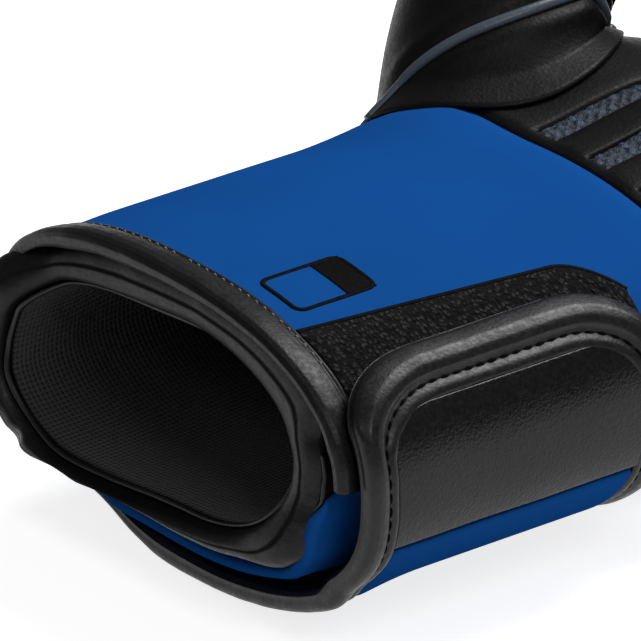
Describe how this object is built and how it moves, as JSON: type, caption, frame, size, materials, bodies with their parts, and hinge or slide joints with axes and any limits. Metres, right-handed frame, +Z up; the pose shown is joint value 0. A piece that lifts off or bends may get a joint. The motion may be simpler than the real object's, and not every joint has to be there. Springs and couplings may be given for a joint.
{
  "type": "boxing glove",
  "caption": "Padded left-hand boxing glove with a lined hand pocket, bent finger part, attached thumb, vented palm and a bound wrist strap that closes with hook and loop.",
  "frame": {"origin": "on the floor under the middle of the glove box", "axes": "+X from the wrist opening to the knuckles, +Y to the thumb side, +Z up out of the palm"},
  "size_m": [0.2762, 0.1702, 0.134],
  "materials": {
    "blue_leather": "satin",
    "black_leather": "satin",
    "lining_fabric": "matte",
    "hook_and_loop": "matte",
    "mesh_fabric": "matte",
    "foam": "matte"
  },
  "bodies": {
    "glove": {"cuff_shell_palm": "blue_leather", "cuff_shell_back": "blue_leather", "cuff_pad_palm": "foam", "cuff_pad_back": "foam", "cuff_binding": "black_leather", "back_binding": "black_leather", "mouth_facing": "black_leather", "seam_welt": "lining_fabric", "hand_lining": "lining_fabric", "loop_patch": "hook_and_loop", "wrist_gusset": "lining_fabric", "strap_anchor": "black_leather", "back_shell": "blue_leather", "palm_panel": "black_leather", "palm_mesh": "mesh_fabric", "palm_pad": "foam", "grip_bar": "foam", "knuckle_foam": "foam", "core_foam": "foam", "thumb_shell": "black_leather", "thumb_foam": "foam", "thumb_lining": "lining_fabric", "thumb_tether": "black_leather"},
    "strap_span": {"span_band": "blue_leather", "span_binding_front": "black_leather", "span_binding_rear": "black_leather", "span_pile": "hook_and_loop"},
    "strap_tab": {"tab_panel": "black_leather", "tab_band": "blue_leather", "tab_binding": "black_leather", "tab_core": "foam", "hook_tape": "hook_and_loop"}
  },
  "joints": [
    {"name": "strap_swing", "type": "hinge", "parent": "glove", "child": "strap_span", "pos_m": [-0.0924, 0.01761, 0.00541], "axis": [1, 0, 0], "range_deg": [0, 50]},
    {"name": "strap_peel", "type": "hinge", "parent": "strap_span", "child": "strap_tab", "pos_m": [-0.0924, -0.07494, 0.02005], "axis": [1, 0, 0], "range_deg": [0, 100]}
  ],
  "couplings": [
    {"joint": "strap_peel", "follows": "strap_swing", "ratio": 2}
  ]
}
